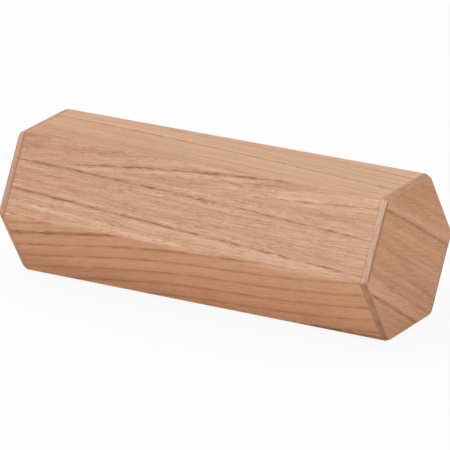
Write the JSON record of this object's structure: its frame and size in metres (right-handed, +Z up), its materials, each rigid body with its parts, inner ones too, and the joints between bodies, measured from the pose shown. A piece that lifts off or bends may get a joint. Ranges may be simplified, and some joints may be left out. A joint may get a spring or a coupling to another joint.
{
  "type": "ganza shaker",
  "caption": "Six-sided wooden tube shaker of mitred staves with flush plywood end plates and loose steel shot sealed inside, shaken by hand for rhythm.",
  "frame": {"origin": "on the resting surface, under the middle of the tube", "axes": "+X along the tube towards the end shown in the picture, -Y towards the front, +Z up out of the top side"},
  "size_m": [0.2, 0.0792, 0.0693],
  "materials": {
    "stave_wood": "satin, open pores",
    "end_veneer": "satin",
    "core_ply": "satin",
    "steel_shot": "polished balls"
  },
  "bodies": {
    "shell": {"bottom_stave": "stave_wood", "lower_back_stave": "stave_wood", "upper_back_stave": "stave_wood", "top_stave": "stave_wood", "upper_front_stave": "stave_wood", "lower_front_stave": "stave_wood", "right_face_veneer": "end_veneer", "right_core_ply": "core_ply", "right_back_veneer": "end_veneer", "left_face_veneer": "end_veneer", "left_core_ply": "core_ply", "left_back_veneer": "end_veneer"},
    "row_1": {"shot_row_1": "steel_shot"},
    "toss_1": {"tossed_shot_1": "steel_shot"},
    "row_2": {"shot_row_2": "steel_shot"},
    "toss_2": {"tossed_shot_2": "steel_shot"},
    "row_3": {"shot_row_3": "steel_shot"},
    "toss_3": {"tossed_shot_3": "steel_shot"},
    "row_4": {"shot_row_4": "steel_shot"},
    "toss_4": {"tossed_shot_4": "steel_shot"},
    "row_5": {"shot_row_5": "steel_shot"},
    "toss_5": {"tossed_shot_5": "steel_shot"},
    "row_6": {"shot_row_6": "steel_shot"},
    "toss_6": {"tossed_shot_6": "steel_shot"}
  },
  "joints": [
    {"name": "row_1_roll", "type": "slide", "parent": "shell", "child": "row_1", "axis": [1, 0, 0], "range_m": [-0.03951, 0.01956]},
    {"name": "toss_1_rise", "type": "slide", "parent": "row_1", "child": "toss_1", "axis": [0, 0, 1], "range_m": [0, 0.05268]},
    {"name": "row_2_roll", "type": "slide", "parent": "shell", "child": "row_2", "axis": [1, 0, 0], "range_m": [-0.0148, 0.04418]},
    {"name": "toss_2_rise", "type": "slide", "parent": "row_2", "child": "toss_2", "axis": [0, 0, 1], "range_m": [0, 0.05268]},
    {"name": "row_3_roll", "type": "slide", "parent": "shell", "child": "row_3", "axis": [1, 0, 0], "range_m": [-0.04143, 0.0179]},
    {"name": "toss_3_rise", "type": "slide", "parent": "row_3", "child": "toss_3", "axis": [0, 0, 1], "range_m": [0, 0.05268]},
    {"name": "row_4_roll", "type": "slide", "parent": "shell", "child": "row_4", "axis": [1, 0, 0], "range_m": [-0.02728, 0.03247]},
    {"name": "toss_4_rise", "type": "slide", "parent": "row_4", "child": "toss_4", "axis": [0, 0, 1], "range_m": [0, 0.05268]},
    {"name": "row_5_roll", "type": "slide", "parent": "shell", "child": "row_5", "axis": [1, 0, 0], "range_m": [-0.02187, 0.03794]},
    {"name": "toss_5_rise", "type": "slide", "parent": "row_5", "child": "toss_5", "axis": [0, 0, 1], "range_m": [0, 0.05268]},
    {"name": "row_6_roll", "type": "slide", "parent": "shell", "child": "row_6", "axis": [1, 0, 0], "range_m": [-0.04408, 0.01537]},
    {"name": "toss_6_rise", "type": "slide", "parent": "row_6", "child": "toss_6", "axis": [0, 0, 1], "range_m": [0, 0.05268]}
  ]
}
